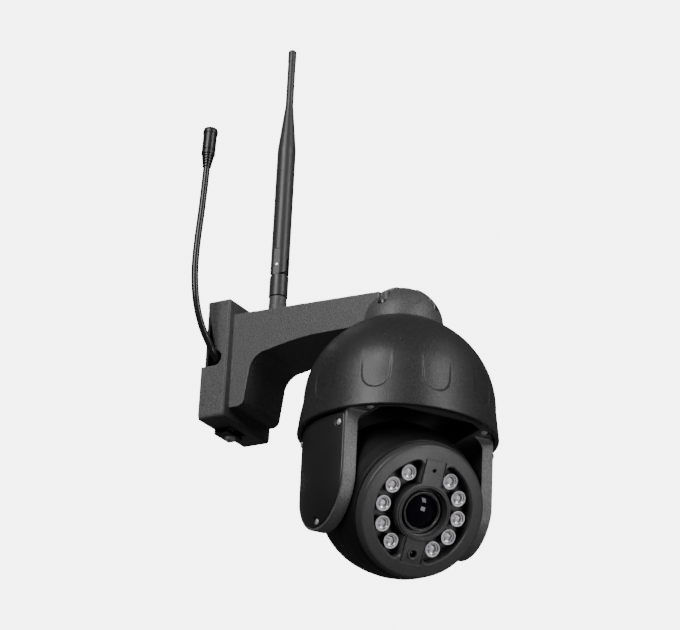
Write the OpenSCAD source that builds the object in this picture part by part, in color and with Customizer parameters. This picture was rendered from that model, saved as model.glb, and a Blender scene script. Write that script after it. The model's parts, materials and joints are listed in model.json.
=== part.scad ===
// Outdoor pan-and-tilt security camera on a wall arm, in millimetres.
// The wall is the plane Y = 0, the arm reaches out along -Y, and +Z is up.

/* [Foot] */
// Width of the wall foot
foot_w = 60; // [56:1:64]
// Height of the wall foot
foot_h = 86; // [82:1:92]
// Depth of the wall foot, away from the wall
foot_d = 20; // [18:1:24]
// Spacing of the wall holes, sideways
hole_pitch_x = 36; // [30:1:40]
// Spacing of the wall holes, upright
hole_pitch_z = 60; // [50:1:64]

/* [Arm] */
// Distance from the wall to the pan axis
reach = 138; // [134:1:146]
// Width of the arm
arm_w = 46.5; // [44:0.5:48]
// Height of the arm's top edge at the foot
arm_top = 33.4; // [32:0.2:35]
// Radius of the round cap over the dome
cap_r = 27.5; // [26.5:0.5:28]

/* [Dome] */
// Radius of the dome's ball-shaped crown
dome_r = 63.5; // [63:0.5:66]
// Radius of the dome's lower rim
rim_r = 66; // [65.5:0.5:69]
// Height of the dome's lower rim, below the origin
rim_z = -67; // [-68:0.5:-66]

/* [Head] */
// Direction the head faces at rest, turned from straight out
pan_rest = -32; // [-90:1:90]
// Downward tilt of the head at rest
tilt_rest = 27.5; // [0:0.5:60]
// Radius of the ball
ball_r = 50; // [48:0.5:50]
// Half width of the yoke's upright arms, front to back
yoke_half = 31; // [29:0.5:32]

/* [Lamps and lens] */
// Radius of the circle of lamps around the lens
lamp_ring_r = 26.8; // [26:0.1:27.4]
// Diameter of one lamp lens
lamp_d = 10.2; // [9.6:0.2:11]
// Angle between two neighbouring lamps
lamp_step = 28; // [26:0.5:29]
// Radius of the glass in front of the lens
glass_r = 11; // [9:0.5:12]

/* [Aerial] */
// Distance from the wall to the aerial
aerial_y = 39; // [37:0.5:44]
// Radius of the aerial's body
aerial_r = 6.45; // [6:0.05:7]
// Height of the aerial's tip above the origin
aerial_tip_z = 244.5; // [235:0.5:260]
// Turn of the aerial about its socket at rest
swivel_rest = 9; // [-90:1:90]

/* [Cord] */
// Diameter of the power cord
cord_d = 4.8; // [4.6:0.1:5]
// Diameter of the plug body on the power cord
plug_d = 9.6; // [9:0.2:11]
// Length of the plug body
plug_len = 21; // [18:1:24]

/* [Hidden] */

$fn = 96;
eps = 0.01;

// wall thicknesses and running gaps
cast_wall = 3;
skin = 2.5;
run = 0.05;
gap = 0.3;

// foot, wall plate and cable notch
plate_t = 2;
wall_hole_r = 2.6;
notch_top = 5.8;
notch_bottom = -5.2;
notch_depth = 15.5;
scoop_depth = 10.4;
scoop_top_depth = 1.8;
tab_w = 18;
tab_gap = 0.4;
lock_boss_r = 4.5;
pocket_depth = 13.5;
corner_r = 2.5;
front_bevel = 1.2;
lip_z = -foot_h / 2 - 3.2;
lip_len = 11;
lock_y = -7;
lock_thread_r = 2;

// arm: underside height at the dome, cable channel and slope of the top edge
arm_under = 7.5;
arm_base_d = 12;
channel_w = 40;
channel_low = 10.5;
channel_high = 27;
arm_drop = 3.8;
cap_z = 11.4;
boss_r = 6.9;
wire_hole_r = 9;
socket_r = 3.2;

// dome: centre of the crown and height of its flat neck
crown_z = -47.5;
neck_r = 27.5;
neck_z = crown_z + sqrt(dome_r * dome_r - neck_r * neck_r);
post_ring_r = 51;
cap_screw_ring = 23;
cap_screw_turn = -3;
gasket_out = 14.4;
gasket_in = 11.6;
gasket_h = 1;

// pan drive
chassis_z = -42;
chassis_t = 3;
bearing_h = 7;
bearing_r = 14;
hub_r = 7.5;
pan_teeth = 56;
pinion_teeth = 14;
gear_z = -50;
gear_h = 5;
pan_centre = (pan_teeth + pinion_teeth) / 2;
board_z = -14;
board_t = 1.6;
standoff = 24;

// yoke: the tilt axis is the centre of the ball
tilt_z = -108;
arm_in = 45.5;
arm_out = 54.3;
cover_r = 62;
cover_top = rim_z - 1.5;
disc_r = 61.5;
disc_top = -62;
disc_low = -66;
pocket_half = 36;
pocket_top = -55;
screw_x = 41.8;
screw_y = 39;
cover_skin = 1.8;
cover_fall_r = 64;
// the screws of a cover, as [forward place, height, seat of the head]: two near the top and one low down
cover_spots = [[-25.4, -75, 56], [25.4, -75, 56], [0, tilt_z - 26, 55.1]];
cover_head_r = 2.2;
cover_head_h = 1.2;

// tilt drive, in the left arm
tilt_teeth = 38;
tilt_pinion_teeth = 12;
tilt_centre = (tilt_teeth + tilt_pinion_teeth) / 2;
tilt_gear_x = 48.9;
tilt_gear_w = 3;
axle_r = 6;
tilt_motor_x = tilt_gear_x + tilt_gear_w + 0.5;
tilt_ear = 14.5;
ear_r = 2.8;

// ball and face, measured forward from the tilt axis
flat_x = 44.7;
seam_d = 35;
rim_d = 38.5;
face_d = 43.8;
rim_face_r = 43.6;
seam_r = 44.6;
lamp_front_d = 38.7;
board_d = 31;
opening_r = 33.6;
island_r = 18.7;
spine_half = 7;
spine_end = 33.5;
collar_r = 17.7;
bore_r = 15.8;
lens_front_d = 41;
sensor_v = -27;
mic_v = 27;
wire_bore_r = 3.2;
board_post_ring = 37.7;

// aerial
boss_top = 51;
base_top = 66.6;
hinge_z = 74.5;
tongue_r = 4.2;
tongue_half = 2.3;
slot_half = 2.5;
pin_r = 1;
taper_z = 164.5;
slim_z = 200.3;
tip_z = 235.2;
slim_r = 2.75;
flat_depth = 0.35;
element_low = 92;

// lamp angles on each side, measured from straight up
lamp_angles = [for (i = [-2:2]) 90 + i * lamp_step];

// Route of the power cord outside the foot, from the notch up along the wall
cord_route = [
    [-28, -11, -0.5], [-32.5, -10.6, 3.2], [-37, -9.6, 8.4], [-41.5, -8.2, 15],
    [-45.8, -7, 23], [-49.4, -6, 33], [-51.8, -5.4, 44], [-53, -5, 56], [-53.2, -5, 68],
    [-52.5, -5, 80], [-51.4, -5, 92], [-50.2, -5, 104], [-49.3, -5, 116],
    [-48.6, -5, 126], [-48, -5, 136], [-47.4, -5, 146]
];
// Route of the same cord inside the foot and the arm
inner_route = [
    [-28, -11, -0.5], [-23, -11.2, -2.5], [-17, -11.3, -2.5], [-11, -11.5, 0.5], [-6, -13, 6],
    [-3, -18, 12], [-2, -26, 16.5], [-1, -38, 18.5], [0, -52, 19], [0, -68, 19], [0, -84, 19],
    [0, -100, 19], [-1, -114, 19], [-2.5, -127, 18.2], [-3.8, -134.5, 13], [-4, -137.5, 5],
    [-4, -138, -1], [-4, -138, -6.4]
];
// Route of the thin aerial lead inside the arm
lead_route = [
    [0, -39, 23.5], [0, -39, 22.9], [1, -39.6, 22.1], [4, -42, 21.8], [7.4, -47, 22.2],
    [8, -58, 22.5], [8, -74, 22.5], [8, -90, 22.5], [7.5, -106, 22.3], [6.5, -118, 21.6],
    [5.8, -128, 19], [5.5, -133.6, 14], [5.5, -135, 8], [5.5, -135, 0], [5.5, -135, -9.4]
];

// ---------- helper functions and shapes ----------

function unit(v) = v / norm(v);

// Direction of a route at point i
function along(p, i) = unit(p[min(i + 1, len(p) - 1)] - p[max(i - 1, 0)]);

// A sideways direction that stays across the route: each route keeps clear of this guide
function across(t, guide) = unit(cross(t, guide));

// A round tube of radius r along route p
module tube(p, r, guide = [0, 0.3, 1], sides = 8) {
    rings = [
        for (i = [0:len(p) - 1]) let (t = along(p, i), a = across(t, guide), b = cross(t, a))
            for (k = [0:sides - 1])
                p[i] + r * (cos(360 * k / sides) * a + sin(360 * k / sides) * b)
    ];
    walls = [
        for (i = [0:len(p) - 2], k = [0:sides - 1]) let (n = (k + 1) % sides, o = i * sides)
            each [
                [o + k, o + sides + k, o + sides + n],
                [o + k, o + sides + n, o + n]
            ]
    ];
    last = (len(p) - 1) * sides;
    caps = [
        [for (k = [0:sides - 1]) k],
        [for (k = [sides - 1:-1:0]) last + k]
    ];
    polyhedron(rings, concat(walls, caps));
}

// Involute gear of module 1, lying flat, with tooth 0 on +X
function involute(base, r) = let (c = base / r) tan(acos(c)) * 180 / PI - acos(c);

function flank(teeth, r) =
    let (pitch = teeth / 2, base = pitch * cos(20))
        90 / teeth * 0.9 + involute(base, pitch) - involute(base, max(r, base));

module gear(teeth, height, hole) {
    pitch = teeth / 2;
    radii = [pitch - 1.2, pitch - 0.5, pitch, pitch + 0.5, pitch + 0.85];
    outline = [
        for (i = [0:teeth - 1]) let (mid = 360 * i / teeth)
            each concat(
                [for (r = radii) let (a = mid - flank(teeth, r)) r * [cos(a), sin(a)]],
                [for (j = [4:-1:0]) let (r = radii[j], a = mid + flank(teeth, r)) r * [cos(a), sin(a)]]
            )
    ];
    difference() {
        linear_extrude(height) polygon(outline);
        translate([0, 0, -1]) cylinder(height + 2, r = hole);
    }
}

// A pan-head screw with its head down at the origin and its shank going up
module screw_up(head_r, head_h, shank_r, shank_l) {
    difference() {
        union() {
            translate([0, 0, 0.6]) cylinder(head_h - 0.6, r = head_r);
            cylinder(0.6, r1 = head_r - 0.6, r2 = head_r);
            translate([0, 0, head_h - eps]) cylinder(shank_l, r = shank_r);
        }
        translate([0, 0, -eps]) cylinder(head_h * 0.6, r = head_r * 0.45, $fn = 6);
    }
}

module box(x1, x2, y1, y2, z1, z2) {
    translate([x1, y1, z1]) cube([x2 - x1, y2 - y1, z2 - z1]);
}

// A slab across X with a flat top and a half-round lower end about the tilt axis
module stadium(x1, x2, half, top) {
    box(x1, x2, -half, half, tilt_z, top);
    translate([x1, 0, tilt_z]) rotate([0, 90, 0]) cylinder(x2 - x1, r = half);
}

// Places a shape on the pan axis, turned to the head's direction at rest
module pan_frame() {
    translate([0, -reach, 0]) rotate([0, 0, pan_rest]) children();
}

// Places a shape on the tilt axis, tilted as at rest; forward is -Y
module tilt_frame() {
    pan_frame() translate([0, 0, tilt_z]) rotate([tilt_rest, 0, 0]) children();
}

// Turns a shape drawn along +Z so that it points out of the face
module face_axis() {
    rotate([90, 0, 0]) children();
}

// Places a shape on the aerial's own axis, turned as at rest
module aerial_frame() {
    translate([0, -aerial_y, 0]) rotate([0, 0, swivel_rest]) children();
}

// Copies a shape to the three screws of the cap: left, front and right
module at_cap_screws() {
    translate([0, -reach, 0])
        for (k = [-1:1])
            rotate([0, 0, cap_screw_turn + 90 * k]) translate([0, -cap_screw_ring, 0]) children();
}

// Copies a shape to the four posts inside the dome
module at_posts() {
    translate([0, -reach, 0])
        for (k = [0:3]) rotate([0, 0, 45 + 90 * k]) translate([post_ring_r, 0, 0]) children();
}

// ---------- wall bracket ----------

// Side view of the arm, as points [distance from the wall, height]
arm_outline = concat(
    [[foot_d - 3, arm_top], [reach, arm_top - arm_drop], [reach, arm_under], [85, arm_under]],
    [[75, 6.9], [66, 5.8], [57, 4.3], [48, 2.4]],
    [for (a = [75:-5:0]) [48 - 14 * cos(a), -11.6 + 14 * sin(a)]],
    [[foot_d + arm_base_d - 0.4, -29]],
    [for (a = [5:10:85]) [foot_d + arm_base_d - 6 + 5.6 * cos(a), -29.4 - 5.6 * sin(a)]],
    [[foot_d - 3, -35]]
);

module arm_slab(half) {
    rotate([90, 0, -90]) translate([0, 0, -half]) linear_extrude(2 * half) polygon(arm_outline);
}

// A block on the wall with round corners, drawn back by inset on all four sides
module foot_block(inset, depth) {
    w = foot_w / 2 - inset - corner_r;
    h = foot_h / 2 - inset - corner_r;
    corners = [[w, h, 0], [-w, h, 90], [-w, -h, 180], [w, -h, 270]];
    rotate([90, 0, 0]) linear_extrude(depth) polygon([
        for (c = corners, a = [0:15:90]) [c[0] + corner_r * cos(a + c[2]), c[1] + corner_r * sin(a + c[2])]
    ]);
}

module arm_channel() {
    half = channel_w / 2;
    box(-half, half, -foot_d - arm_base_d + cast_wall, -foot_d + cast_wall + eps, -30, channel_high);
    box(-half, half, -reach + 8, -foot_d, channel_low, channel_high);
    translate([0, -reach, 12.7]) cylinder(channel_high - 12.7, r = 16);
    translate([0, -reach, -1]) cylinder(20, r = wire_hole_r);
}

// The way out of the foot for the cord, and the slanting cut above it that the cord rises through
module cable_notch() {
    mid = (notch_top + notch_bottom) / 2;
    r = (notch_top - notch_bottom) / 2;
    side = -foot_w / 2 - 1;
    box(side, side + cast_wall + 2, -notch_depth + r, 1, notch_bottom, notch_top);
    translate([side, -notch_depth + r, mid]) rotate([0, 90, 0]) cylinder(cast_wall + 2, r = r);
    translate([side, 0, 0]) rotate([90, 0, 90]) linear_extrude(cast_wall + 2) polygon([
        [1, mid], [-scoop_depth, mid], [-scoop_depth, notch_top], [-scoop_depth * 0.68, notch_top + 13],
        [-scoop_top_depth, foot_h / 2 + 1], [1, foot_h / 2 + 1]
    ]);
}

module bracket_arm() {
    color("dimgray") difference() {
        union() {
            hull() {
                foot_block(0, foot_d - front_bevel);
                foot_block(front_bevel, foot_d);
            }
            intersection() {
                arm_slab(arm_w / 2);
                box(-40, 40, -reach, 0, -50, 60);
            }
            translate([0, -reach, cap_z]) sphere(r = cap_r);
            translate([0, -reach, 0]) cylinder(cap_z, r = cap_r);
            translate([0, -aerial_y, arm_top - 6]) cylinder(boss_top - arm_top + 6, r1 = boss_r, r2 = 6);
        }
        // the hollow of the foot, open to the wall
        difference() {
            translate([0, 1, 0]) foot_block(cast_wall, foot_d - cast_wall + 1);
            translate([0, lock_y, -foot_h / 2]) cylinder(11, r = lock_boss_r);
            box(-2, 2, -foot_d, lock_y, -foot_h / 2, -foot_h / 2 + 11);
        }
        arm_channel();
        cable_notch();
        // pocket for the wall plate's lip, under the foot
        tab_half = tab_w / 2 + tab_gap;
        box(-tab_half, tab_half, -pocket_depth, 1, -foot_h / 2 - 1, -foot_h / 2 + cast_wall + eps);
        translate([0, lock_y, -foot_h / 2]) cylinder(16, r = lock_thread_r);
        // seat on the dome, with a groove for the gasket
        intersection() {
            translate([0, -reach, crown_z]) sphere(r = dome_r + 0.2);
            translate([0, -reach, neck_z - 50]) cylinder(50, r = 80);
        }
        translate([0, -reach, neck_z - 1]) difference() {
            cylinder(2, r = gasket_out + 0.1);
            cylinder(2, r = gasket_in - 0.1);
        }
        at_cap_screws() {
            translate([0, 0, 19.5]) cylinder(30, r = 4);
            cylinder(30, r = 2.1);
        }
        translate([0, -aerial_y, channel_high - 1]) cylinder(40, r = socket_r);
    }
}

module wall_plate() {
    color("gray") difference() {
        union() {
            box(-25.5, 25.5, -plate_t, 0, -foot_h / 2 + cast_wall + 0.2, foot_h / 2 - cast_wall - 0.2);
            box(-tab_w / 2, tab_w / 2, -plate_t, 0, lip_z, -foot_h / 2 + 6);
            box(-tab_w / 2, tab_w / 2, -lip_len, 0, lip_z, lip_z + plate_t);
            box(-8, 8, -9, 0, foot_h / 2 - cast_wall - 2.2, foot_h / 2 - cast_wall - 0.2);
        }
        for (sx = [-1, 1], sz = [-1, 1])
            translate([sx * hole_pitch_x / 2, 1, sz * hole_pitch_z / 2])
                rotate([90, 0, 0]) cylinder(6, r = wall_hole_r);
        translate([0, lock_y, lip_z - 1]) cylinder(6, r = 2.1);
        translate([0, 1, 0]) rotate([90, 0, 0]) cylinder(6, r = 9);
    }
}

module lock_screw() {
    color("silver") translate([0, lock_y, lip_z - 2.2]) screw_up(3.8, 2.2, 2, 12);
}

module cable_clamp() {
    color("black") difference() {
        box(-22, -18, -foot_d + cast_wall, -7.4, -7, 2);
        translate([-20, -11.25, -2.5]) rotate([0, 90, 0]) cylinder(10, r = cord_d / 2 + 0.1, center = true);
    }
}

module inner_cable() {
    color("black") tube(inner_route, cord_d / 2, guide = [1, 0.2, 0.1]);
}

module tail_cord() {
    color("black") tube(cord_route, cord_d / 2, guide = [0, 1, 0.1], sides = 12);
}

// Places a shape on the end of the cord, pointing along it
module cord_end() {
    last = cord_route[len(cord_route) - 1];
    dir = along(cord_route, len(cord_route) - 1);
    translate(last) rotate([0, acos(dir[2]), atan2(dir[1], dir[0])]) children();
}

module cord_relief() {
    color("black") cord_end() difference() {
        translate([0, 0, -9]) cylinder(9, r1 = cord_d / 2 + 0.6, r2 = plug_d / 2 - 0.6);
        translate([0, 0, -10]) cylinder(10, r = cord_d / 2);
    }
}

module power_plug() {
    color("black") cord_end() difference() {
        union() {
            cylinder(plug_len, r = plug_d / 2);
            translate([0, 0, plug_len - 4]) cylinder(2.5, r = plug_d / 2 + 0.4);
        }
        translate([0, 0, plug_len - 9]) difference() {
            cylinder(20, r = 2.8);
            translate([0, 0, -1]) cylinder(9, r = 1);
        }
    }
}

module aerial_socket() {
    color("goldenrod") translate([0, -aerial_y, 0]) difference() {
        union() {
            translate([0, 0, 23.5]) cylinder(boss_top - 23.5, r = socket_r);
            translate([0, 0, boss_top - eps]) cylinder(6, r = 2.95);
        }
        translate([0, 0, boss_top]) cylinder(10, r = 1.4);
    }
}

module socket_nut() {
    color("goldenrod") translate([0, -aerial_y, channel_high - 2.3]) difference() {
        cylinder(2.2, r = 5, $fn = 6);
        translate([0, 0, -1]) cylinder(5, r = socket_r);
    }
}

module aerial_lead() {
    color("saddlebrown") tube(lead_route, 0.9, guide = [1, 0.2, 0.1]);
}

// ---------- dome and what is fixed in it ----------

module dome_solid(r_crown, r_rim, low) {
    intersection() {
        translate([0, 0, crown_z]) sphere(r = r_crown);
        translate([0, 0, crown_z]) cylinder(100, r = 100);
    }
    translate([0, 0, low]) cylinder(crown_z - low, r1 = r_rim, r2 = r_crown);
}

module dome_housing() {
    color("dimgray") translate([0, -reach, 0]) difference() {
        intersection() {
            difference() {
                dome_solid(dome_r, rim_r, rim_z);
                difference() {
                    dome_solid(dome_r - cast_wall, rim_r - cast_wall, rim_z - 1);
                    translate([0, 0, 1.5]) cylinder(20, r = 26);
                    for (k = [0:3]) rotate([0, 0, 45 + 90 * k])
                        translate([post_ring_r, 0, chassis_z + chassis_t]) cylinder(40, r = 4);
                }
            }
            translate([0, 0, rim_z]) cylinder(neck_z - rim_z, r = 80);
        }
        translate([0, 0, -5]) cylinder(20, r = wire_hole_r);
        for (k = [-1:1]) rotate([0, 0, cap_screw_turn + 90 * k]) translate([0, -cap_screw_ring, -5])
            cylinder(20, r = 2);
        for (k = [0:3]) rotate([0, 0, 45 + 90 * k]) translate([post_ring_r, 0, chassis_z])
            cylinder(12, r = 1.5);
    }
}

module neck_gasket() {
    color("black") translate([0, -reach, neck_z]) difference() {
        cylinder(gasket_h - 2 * eps, r = gasket_out);
        translate([0, 0, -1]) cylinder(3, r = gasket_in);
    }
}

module cap_screws() {
    color("silver") at_cap_screws() translate([0, 0, 22.5]) mirror([0, 0, 1]) screw_up(3.4, 3, 2, 15);
}

module chassis_plate() {
    color("lightsteelblue") translate([0, -reach, 0]) difference() {
        union() {
            translate([0, 0, chassis_z]) cylinder(chassis_t, r = 57.5);
            translate([0, 0, chassis_z]) cylinder(bearing_h + 1, r = 18);
        }
        translate([0, 0, chassis_z - 1]) cylinder(20, r = 11);
        translate([0, 0, chassis_z + 1]) cylinder(20, r = bearing_r);
        translate([pan_centre, 0, chassis_z - 1]) cylinder(10, r = 5);
        for (k = [0:3]) rotate([0, 0, 45 + 90 * k])
            translate([post_ring_r, 0, chassis_z - 1]) cylinder(10, r = 1.6);
    }
}

module chassis_screws() {
    color("silver") at_posts() translate([0, 0, chassis_z - 2]) screw_up(2.8, 2, 1.5, 12);
}

module pan_bearing() {
    color("silver") translate([0, -reach, chassis_z + 1]) difference() {
        cylinder(bearing_h, r = bearing_r);
        translate([0, 0, -1]) cylinder(10, r = hub_r + run);
    }
}

module pan_motor() {
    color("silver") translate([pan_centre, -reach, chassis_z + chassis_t]) difference() {
        union() {
            cylinder(20, r = 15);
            hull() for (s = [-1, 1]) translate([0, s * 17.5, 0]) cylinder(1.2, r = 3.5);
        }
        translate([0, 0, -1]) cylinder(12, r = 2 + run);
    }
}

module main_board() {
    color("darkgreen") translate([0, -reach, board_z]) difference() {
        cylinder(board_t, r = 38);
        for (sx = [-1, 1], sy = [-1, 1]) translate([sx * standoff, sy * standoff, -1]) cylinder(4, r = 1.5);
        translate([0, -15, -1]) cylinder(4, r = 5);
    }
}

module board_chips() {
    color("black") translate([0, -reach, board_z + board_t]) {
        // the sockets of the power cord and of the aerial lead
        box(-9, 1, -4, 4, 0, 6);
        translate([5.5, 3, 0]) cylinder(3, r = 2.2);
        box(-30, -18, -8, 4, 0, 1.4);
        box(10, 18, 8, 16, 0, 1.2);
        box(12, 26, -22, -8, 0, 2.4);
        box(-10, -2, 12, 20, 0, 1.4);
        box(14, 22, -2, 5, 0, 4);
        translate([-12, -22, 0]) cylinder(5, r = 4);
    }
}

module board_standoffs() {
    color("goldenrod") translate([0, -reach, chassis_z + chassis_t])
        for (sx = [-1, 1], sy = [-1, 1]) translate([sx * standoff, sy * standoff, 0])
            cylinder(board_z - chassis_z - chassis_t, r = 2.8, $fn = 6);
}

// ---------- turning yoke ----------

module pocket(inset) {
    intersection() {
        box(-pocket_half + inset, pocket_half - inset, -50 + inset, 50 - inset, disc_low - 1, pocket_top);
        translate([0, 0, disc_low - 1]) cylinder(60, r = 56 - inset);
    }
}

module turntable() {
    color("dimgray") pan_frame() difference() {
        union() {
            translate([0, 0, disc_top]) cylinder(3, r = 60);
            intersection() {
                wide = pocket_half + cast_wall;
                box(-wide, wide, -53, 53, disc_top, pocket_top + cast_wall);
                translate([0, 0, disc_top]) cylinder(60, r = 59);
            }
            translate([0, 0, pocket_top]) cylinder(gear_z - pocket_top, r = 13);
            translate([0, 0, pocket_top]) cylinder(31, r = hub_r);
        }
        pocket(0);
        translate([0, 0, -70]) cylinder(60, r = 4.5);
        for (sx = [-1, 1], sy = [-1, 1]) translate([sx * screw_x, sy * screw_y, -70]) cylinder(20, r = 1.5);
    }
}

// The tooth phase puts a gap of the gear in front of a tooth of the pinion
module pan_gear() {
    color("ivory") translate([0, -reach, gear_z]) difference() {
        union() {
            rotate([0, 0, 180 / pan_teeth]) gear(pan_teeth, gear_h, hub_r);
            cylinder(chassis_z + 1 - gap - gear_z, r = 10);
        }
        translate([0, 0, -1]) cylinder(20, r = hub_r);
    }
}

module hub_nut() {
    color("silver") pan_frame() translate([0, 0, chassis_z + 1 + bearing_h + gap]) difference() {
        cylinder(5, r = 11, $fn = 6);
        translate([0, 0, -1]) cylinder(8, r = hub_r);
    }
}

module yoke_arm() {
    intersection() {
        stadium(arm_in, arm_out, yoke_half, disc_top - 1);
        translate([0, 0, tilt_z - 40]) cylinder(90, r = cover_r);
    }
    // inner fillet between the upright and the disc
    difference() {
        box(pocket_half + 1, arm_in + 1, -yoke_half, yoke_half, disc_low - 9.5, disc_low + 1);
        translate([arm_in - 10, 0, disc_low - 10]) rotate([90, 0, 0]) cylinder(100, r = 10.2, center = true);
    }
}

module arm_cavity() {
    stadium(arm_in + skin, 80, yoke_half - 3, disc_low - 6);
}

module yoke_frame() {
    color("dimgray") pan_frame() difference() {
        union() {
            translate([0, 0, disc_low]) cylinder(disc_top - disc_low, r = disc_r);
            yoke_arm();
            mirror([1, 0, 0]) yoke_arm();
        }
        pocket(0);
        for (s = [0, 1]) mirror([s, 0, 0]) difference() {
            arm_cavity();
            for (p = cover_spots) translate([arm_in, p[0], p[1]]) rotate([0, 90, 0])
                cylinder(arm_out - arm_in, r = 3.3);
            // posts for the motor's ears, in the left arm
            if (s == 1) for (t = [-1, 1]) translate([arm_in, tilt_ear * t, tilt_z + tilt_centre])
                rotate([0, 90, 0]) cylinder(tilt_motor_x - arm_in, r = ear_r);
        }
        translate([0, 0, tilt_z]) rotate([0, 90, 0]) cylinder(120, r = 9, center = true);
        for (sx = [-1, 1], sy = [-1, 1]) translate([sx * screw_x, sy * screw_y, 0]) {
            translate([0, 0, disc_low - 1]) cylinder(10, r = 1.6);
            translate([0, 0, disc_low - 20]) cylinder(21.5, r = 3.4);
        }
        cover_screw_places() rotate([0, 90, 0]) cylinder(12, r = 1.2, center = true);
    }
}

module yoke_screws() {
    color("silver") pan_frame() for (sx = [-1, 1], sy = [-1, 1])
        translate([sx * screw_x, sy * screw_y, disc_low - 0.6]) screw_up(2.9, 2.1, 1.5, 5);
}

module cover_screw_places() {
    for (s = [-1, 1], p = cover_spots) translate([s * 53, p[0], p[1]]) children();
}

// The outside of the covers: upright beside the ball's upper half, and curving in below the tilt axis
module cover_drum(r) {
    fall = [for (a = [0:4:28]) [r - cover_fall_r * (1 - cos(a)), -cover_fall_r * sin(a)]];
    translate([0, 0, tilt_z]) rotate_extrude() polygon(concat([[0, 60], [r, 60]], fall, [[0, fall[7][1]]]));
}

module cover_shape(r, half, inner_x, top) {
    intersection() {
        cover_drum(r);
        stadium(inner_x, 70, half, top);
    }
}

module side_cover() {
    difference() {
        cover_shape(cover_r, yoke_half - 1.2, arm_out, cover_top);
        difference() {
            cover_shape(cover_r - cover_skin, yoke_half - 3.2, arm_out - 1, cover_top - cover_skin);
            for (p = cover_spots) translate([40, p[0], p[1]]) rotate([0, 90, 0]) cylinder(30, r = 2.6);
        }
        for (p = cover_spots) translate([p[2], p[0], p[1]]) rotate([0, 90, 0]) {
            translate([0, 0, -10]) cylinder(30, r = 1.3);
            cylinder(30, r = cover_head_r + 0.2);
        }
    }
}

module right_cover() {
    color("dimgray") pan_frame() side_cover();
}

module left_cover() {
    color("dimgray") pan_frame() mirror([1, 0, 0]) side_cover();
}

module cover_screws() {
    color("silver") pan_frame() for (s = [0, 1], p = cover_spots) mirror([s, 0, 0])
        translate([p[2] + cover_head_h, p[0], p[1]]) rotate([0, -90, 0])
            screw_up(cover_head_r, cover_head_h, 1.2, 6);
}

module left_bush() {
    color("tan") pan_frame() translate([-arm_in - skin - 0.6, 0, tilt_z]) rotate([0, 90, 0]) bush();
}

module right_bush() {
    color("tan") pan_frame() mirror([1, 0, 0])
        translate([-arm_in - skin - 0.6, 0, tilt_z]) rotate([0, 90, 0]) bush();
}

module bush() {
    difference() {
        union() {
            cylinder(skin + 0.6, r = 9);
            cylinder(0.6, r = 11);
        }
        translate([0, 0, -1]) cylinder(8, r = axle_r + run);
    }
}

module tilt_motor() {
    color("silver") pan_frame() translate([-tilt_motor_x, 0, tilt_z + tilt_centre]) rotate([0, -90, 0])
        difference() {
            union() {
                cylinder(6.2, r = 11);
                hull() for (s = [-1, 1]) translate([0, s * tilt_ear, 0]) cylinder(1, r = ear_r);
            }
            translate([0, 0, -1]) cylinder(5, r = 1.5 + run);
        }
}

module pan_pinion() {
    color("goldenrod") translate([pan_centre, -reach, 0]) {
        translate([0, 0, gear_z]) gear(pinion_teeth, gear_h, 1);
        translate([0, 0, gear_z - 0.5]) cylinder(chassis_z + chassis_t + 10 - gear_z, r = 2);
    }
}

module tilt_pinion() {
    color("goldenrod") pan_frame() translate([-tilt_gear_x, 0, tilt_z + tilt_centre]) rotate([0, -90, 0]) {
        gear(tilt_pinion_teeth, tilt_gear_w, 0.8);
        cylinder(tilt_gear_w + 3.5, r = 1.5);
    }
}

// ---------- tilting head ----------

// Outline of the head behind the face, as points [radius, forward distance]
shell_outline = concat(
    [for (a = [0:5:90]) [ball_r * sin(a), -ball_r * cos(a)]],
    [[ball_r - 0.3, 7], [ball_r - 1, 15], [ball_r - 2.4, 24], [ball_r - 4.2, seam_d - 1]]
);

// The same outline drawn in by t: towards the ball's centre behind it, and sideways in front of it
function inset(p, t) = p[1] < 0 ? p * (ball_r - t) / ball_r : [p[0] - t, p[1]];

module ball_solid(t) {
    outline = [for (p = shell_outline) inset(p, t)];
    face_axis() rotate_extrude() polygon(concat([[0, outline[0][1]]], outline, [[0, seam_d - 1]]));
}

module between_flats(half) {
    box(-half, half, -70, 70, -70, 70);
}

module ball_shell() {
    color("dimgray") tilt_frame() difference() {
        intersection() {
            ball_solid(0);
            between_flats(flat_x);
        }
        intersection() {
            union() {
                ball_solid(skin);
                face_axis() translate([0, 0, seam_d - 2.5]) cylinder(5, r = 41.6);
            }
            between_flats(flat_x - skin);
        }
        rotate([0, 90, 0]) cylinder(120, r = wire_bore_r, center = true);
    }
}

// Outline of the face, as points [radius, forward distance], from the middle to the back edge
face_outline = [
    [0, face_d], [18, face_d - 0.2], [26, face_d - 0.6], [32, face_d - 1.2], [37, face_d - 2.2],
    [40.5, face_d - 3.3], [42.4, face_d - 4.3], [rim_face_r, rim_d], [seam_r - 0.3, seam_d + 1.4],
    [seam_r, seam_d]
];

module face_disc(back) {
    face_axis() rotate_extrude() polygon(concat(face_outline, [[seam_r, back], [0, back]]));
}

module lamp_opening() {
    // a ring segment beside the lens, cut off beside the spine
    for (s = [-1, 1]) intersection() {
        difference() {
            cylinder(60, r = opening_r);
            translate([0, 0, -1]) cylinder(62, r = island_r);
        }
        translate([s > 0 ? spine_half + 1.6 : -60 - spine_half - 1.6, -60, 0]) cube([60, 120, 60]);
    }
}

module keyhole(grow) {
    cylinder(60, r = island_r + grow);
    half = spine_half + grow;
    end = spine_end + grow;
    translate([-half, -end, 0]) cube([2 * half, 2 * end, 60]);
}

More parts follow.
